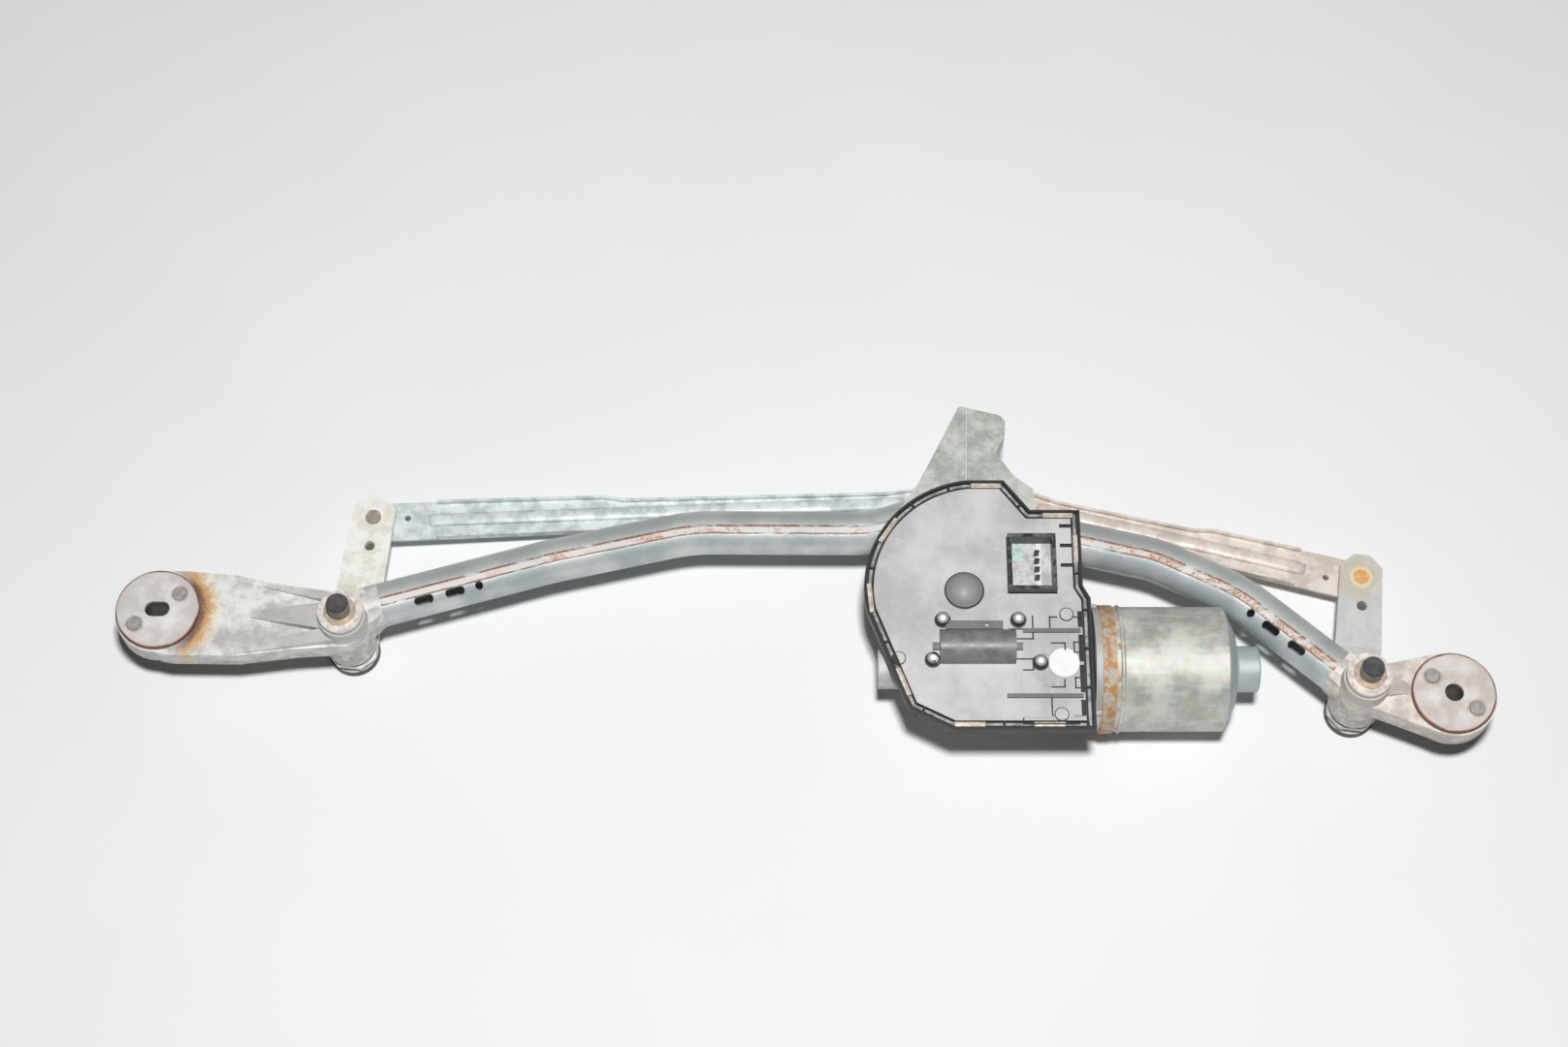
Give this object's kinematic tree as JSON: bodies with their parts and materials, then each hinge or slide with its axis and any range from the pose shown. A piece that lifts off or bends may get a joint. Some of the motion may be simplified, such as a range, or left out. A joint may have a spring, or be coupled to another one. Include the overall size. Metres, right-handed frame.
{
  "type": "wiper linkage",
  "caption": "Tube-framed windscreen wiper linkage: central worm-gear motor, crank and push rods that swing a spindle near each end.",
  "frame": {"origin": "centre of the right mount's round hole at its lower seating face", "axes": "+X along the length towards the round mounting hole, +Y towards the windscreen side, +Z along the spindles towards their tips"},
  "size_m": [0.773, 0.2016, 0.076],
  "materials": {
    "die_cast": "rough die-cast",
    "bracket_cast": "die-cast, dull",
    "galvanised_tube": "galvanised, weathered",
    "can_steel": "galvanised, dull",
    "rusted_band": "rusted",
    "cover_plastic": "moulded, dusty",
    "black_plastic": "moulded",
    "membrane": "porous disc",
    "bright_clip": "bright tinned",
    "zinc_plate": "zinc plated",
    "rivet_steel": "zinc plated",
    "grommet_rubber": "moulded",
    "bare_steel": "turned",
    "sintered_bush": "sintered bronze",
    "wheel_plastic": "moulded acetal",
    "lever_zinc": "zinc plated, pressed",
    "ball_steel": "hardened, rusted head",
    "left_rod_zinc": "zinc plated, pressed",
    "right_rod_zinc": "zinc plated, dusty",
    "cup_plastic": "moulded acetal"
  },
  "bodies": {
    "frame": {"frame_tube": "galvanised_tube", "left_housing": "die_cast", "right_housing": "die_cast", "centre_bracket": "bracket_cast", "gear_housing": "die_cast", "gearbox_screws": "zinc_plate", "gear_cover": "cover_plastic", "connector_socket": "black_plastic", "terminals": "bright_clip", "cover_hood": "black_plastic", "vent_membrane": "membrane", "cover_clips": "bright_clip", "motor_can": "can_steel", "can_clamp_ring": "rusted_band", "motor_magnets": "bare_steel", "brush_plate": "black_plastic", "rear_bearing": "bare_steel", "front_bearing": "bare_steel", "output_bush": "sintered_bush", "left_bushes": "sintered_bush", "left_mount_plate": "zinc_plate", "left_mount_rivets": "rivet_steel", "left_grommet": "grommet_rubber", "left_sleeve": "bare_steel", "right_bushes": "sintered_bush", "right_mount_plate": "zinc_plate", "right_mount_rivets": "rivet_steel", "right_grommet": "grommet_rubber", "right_sleeve": "bare_steel"},
    "armature": {"armature": "bare_steel", "commutator": "bright_clip"},
    "crank": {"worm_wheel": "wheel_plastic", "output_shaft": "bare_steel", "crank_arm": "lever_zinc", "crank_ball_stud": "ball_steel"},
    "left_lever": {"left_spindle": "bare_steel", "left_washer": "zinc_plate", "left_retaining_ring": "bare_steel", "left_foot_disc": "lever_zinc", "left_lever": "lever_zinc", "left_ball_stud": "ball_steel"},
    "right_lever": {"right_spindle": "bare_steel", "right_washer": "zinc_plate", "right_retaining_ring": "bare_steel", "right_foot_disc": "lever_zinc", "right_lever": "lever_zinc", "right_ball_stud": "ball_steel"},
    "left_rod": {"left_push_rod": "left_rod_zinc", "left_outer_cup": "cup_plastic", "left_inner_cup": "cup_plastic"},
    "right_rod": {"right_push_rod": "right_rod_zinc", "right_outer_cup": "cup_plastic", "right_inner_cup": "cup_plastic"}
  },
  "joints": [
    {"name": "armature_spin", "type": "hinge", "parent": "frame", "child": "armature", "pos_m": [-0.16, 0.019, 0], "axis": [1, 0, 0], "range_deg": [-2700, 2700]},
    {"name": "crank_swing", "type": "hinge", "parent": "frame", "child": "crank", "pos_m": [-0.271, 0.0615, -0.012], "axis": [0, 0, 1], "range_deg": [-45, 45]},
    {"name": "left_lever_swing", "type": "hinge", "parent": "frame", "child": "left_lever", "pos_m": [-0.619, 0.043, 0], "axis": [0, 0, 1], "range_deg": [-45, 45]},
    {"name": "right_lever_swing", "type": "hinge", "parent": "frame", "child": "right_lever", "pos_m": [-0.049, 0.0055, 0], "axis": [0, 0, 1], "range_deg": [-45, 45]},
    {"name": "left_rod_pivot", "type": "hinge", "parent": "left_lever", "child": "left_rod", "pos_m": [-0.61006, 0.11797, -0.0205], "axis": [0, 0, 1], "range_deg": [-45, 45]},
    {"name": "right_rod_pivot", "type": "hinge", "parent": "right_lever", "child": "right_rod", "pos_m": [-0.04006, 0.08047, -0.0205], "axis": [0, 0, 1], "range_deg": [-45, 45]}
  ],
  "couplings": [
    {"joint": "crank_swing", "follows": "armature_spin", "ratio": 0.016667},
    {"joint": "left_lever_swing", "follows": "armature_spin", "ratio": 0.016667},
    {"joint": "right_lever_swing", "follows": "armature_spin", "ratio": 0.016667},
    {"joint": "left_rod_pivot", "follows": "armature_spin", "ratio": -0.016667},
    {"joint": "right_rod_pivot", "follows": "armature_spin", "ratio": -0.016667}
  ]
}
